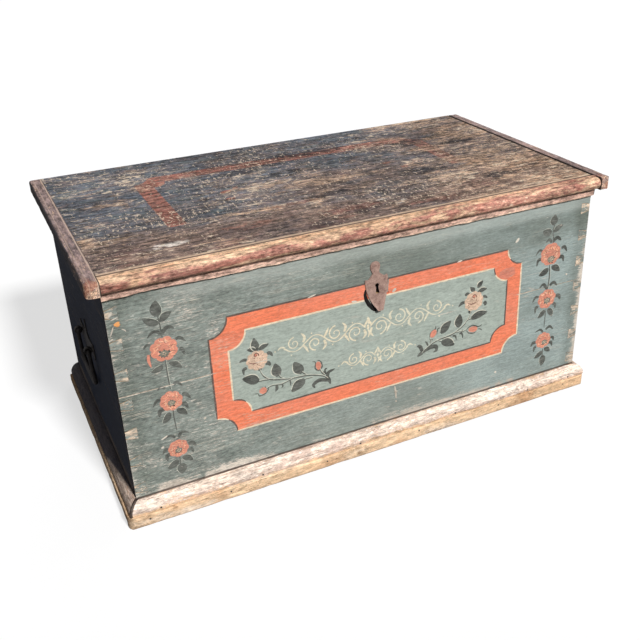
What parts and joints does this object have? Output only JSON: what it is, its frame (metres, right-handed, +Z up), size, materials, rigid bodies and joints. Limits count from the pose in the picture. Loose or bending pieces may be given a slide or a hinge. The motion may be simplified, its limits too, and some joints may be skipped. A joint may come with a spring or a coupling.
{
  "type": "blanket chest",
  "caption": "Painted pine blanket chest with a hinged flat lid, mitred plinth, box lock with escutcheon and a bail handle at each end.",
  "frame": {"origin": "on the floor under the middle of the chest's bounding box", "axes": "+Z up, the painted front with the escutcheon faces -Y, +X to the right seen from the front"},
  "size_m": [1.242, 0.692, 0.5873],
  "materials": {
    "front_paint": "matte",
    "side_paint": "matte",
    "back_pine": "matte",
    "inside_pine": "matte",
    "plinth_paint": "matte",
    "base_wood": "matte",
    "lid_paint": "matte",
    "lid_moulding": "matte",
    "rusted_iron": "matte",
    "black_iron": "satin"
  },
  "bodies": {
    "carcass": {"front_lower_board": "front_paint", "front_upper_board": "front_paint", "back_lower_board": "back_pine", "back_upper_board": "back_pine", "left_side_lower_board": "side_paint", "left_side_upper_board": "side_paint", "right_side_lower_board": "side_paint", "right_side_upper_board": "side_paint", "bottom_board_1": "inside_pine", "bottom_board_2": "inside_pine", "bottom_board_3": "inside_pine", "till_front": "inside_pine", "till_bottom": "inside_pine", "plinth_front_moulding": "plinth_paint", "plinth_left_moulding": "plinth_paint", "plinth_right_moulding": "plinth_paint", "base_front_strip": "base_wood", "base_left_front_strip": "base_wood", "base_left_back_strip": "base_wood", "base_right_strip": "base_wood", "left_hinge_leaf": "black_iron", "left_hinge_pin": "black_iron", "right_hinge_leaf": "black_iron", "right_hinge_pin": "black_iron", "escutcheon": "rusted_iron", "lock_case": "black_iron", "lock_key_pin": "black_iron", "left_handle_plate": "black_iron", "left_handle_front_eye": "black_iron", "left_handle_back_eye": "black_iron", "right_handle_plate": "black_iron", "right_handle_front_eye": "black_iron", "right_handle_back_eye": "black_iron"},
    "lid": {"lid_back_board": "lid_paint", "lid_front_board": "lid_paint", "lid_left_cleat": "lid_paint", "lid_right_cleat": "lid_paint", "lid_front_moulding": "lid_moulding", "left_hinge_strap": "black_iron", "right_hinge_strap": "black_iron", "lid_staple": "rusted_iron"},
    "bolt": {"lock_bolt": "rusted_iron"},
    "left_handle": {"left_handle_bail": "black_iron"},
    "right_handle": {"right_handle_bail": "black_iron"}
  },
  "joints": [
    {"name": "lid_hinge", "type": "hinge", "parent": "carcass", "child": "lid", "pos_m": [0, 0.33895, 0.553], "axis": [-1, 0, 0], "range_deg": [0, 100]},
    {"name": "bolt_slide", "type": "slide", "parent": "carcass", "child": "bolt", "axis": [1, 0, 0], "range_m": [0, 0.014]},
    {"name": "left_handle_swing", "type": "hinge", "parent": "carcass", "child": "left_handle", "pos_m": [-0.602, -0.00135, 0.3], "axis": [0, 1, 0], "range_deg": [0, 160]},
    {"name": "right_handle_swing", "type": "hinge", "parent": "carcass", "child": "right_handle", "pos_m": [0.602, -0.00135, 0.3], "axis": [0, -1, 0], "range_deg": [0, 160]}
  ]
}
